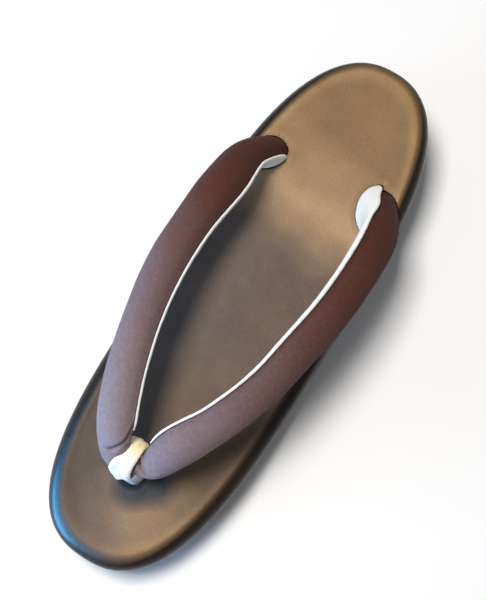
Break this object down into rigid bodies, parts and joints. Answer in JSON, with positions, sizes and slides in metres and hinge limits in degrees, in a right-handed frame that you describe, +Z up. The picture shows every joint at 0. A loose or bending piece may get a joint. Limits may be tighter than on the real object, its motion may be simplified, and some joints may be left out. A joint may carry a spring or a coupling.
{
  "type": "zori sandal",
  "caption": "Oval wedge-soled zori sandal with a padded V-shaped cloth strap, white strap lining and a toe loop between the arms.",
  "frame": {"origin": "middle of the sandal's footprint, on the ground", "axes": "+Z up, toe towards -Y, heel towards +Y, +X on the right-hand side seen from above with the heel up"},
  "size_m": [0.0836, 0.246, 0.0659],
  "materials": {
    "outsole": "matt moulded rubber",
    "sole_leather": "satin bronze-brown leather with a fine grain and a glossy rounded rim",
    "strap_cloth": "matt fine-woven cloth that fades from lavender grey at the toe to maroon at the heel",
    "lining_cloth": "matt off-white cloth",
    "loop_cloth": "soft cream-white cloth"
  },
  "bodies": {
    "root": {"outsole": "outsole", "sole_body": "sole_leather", "top_board": "sole_leather", "strap": "strap_cloth", "lining_left": "lining_cloth", "lining_right": "lining_cloth", "toe_loop": "loop_cloth"}
  },
  "joints": []
}
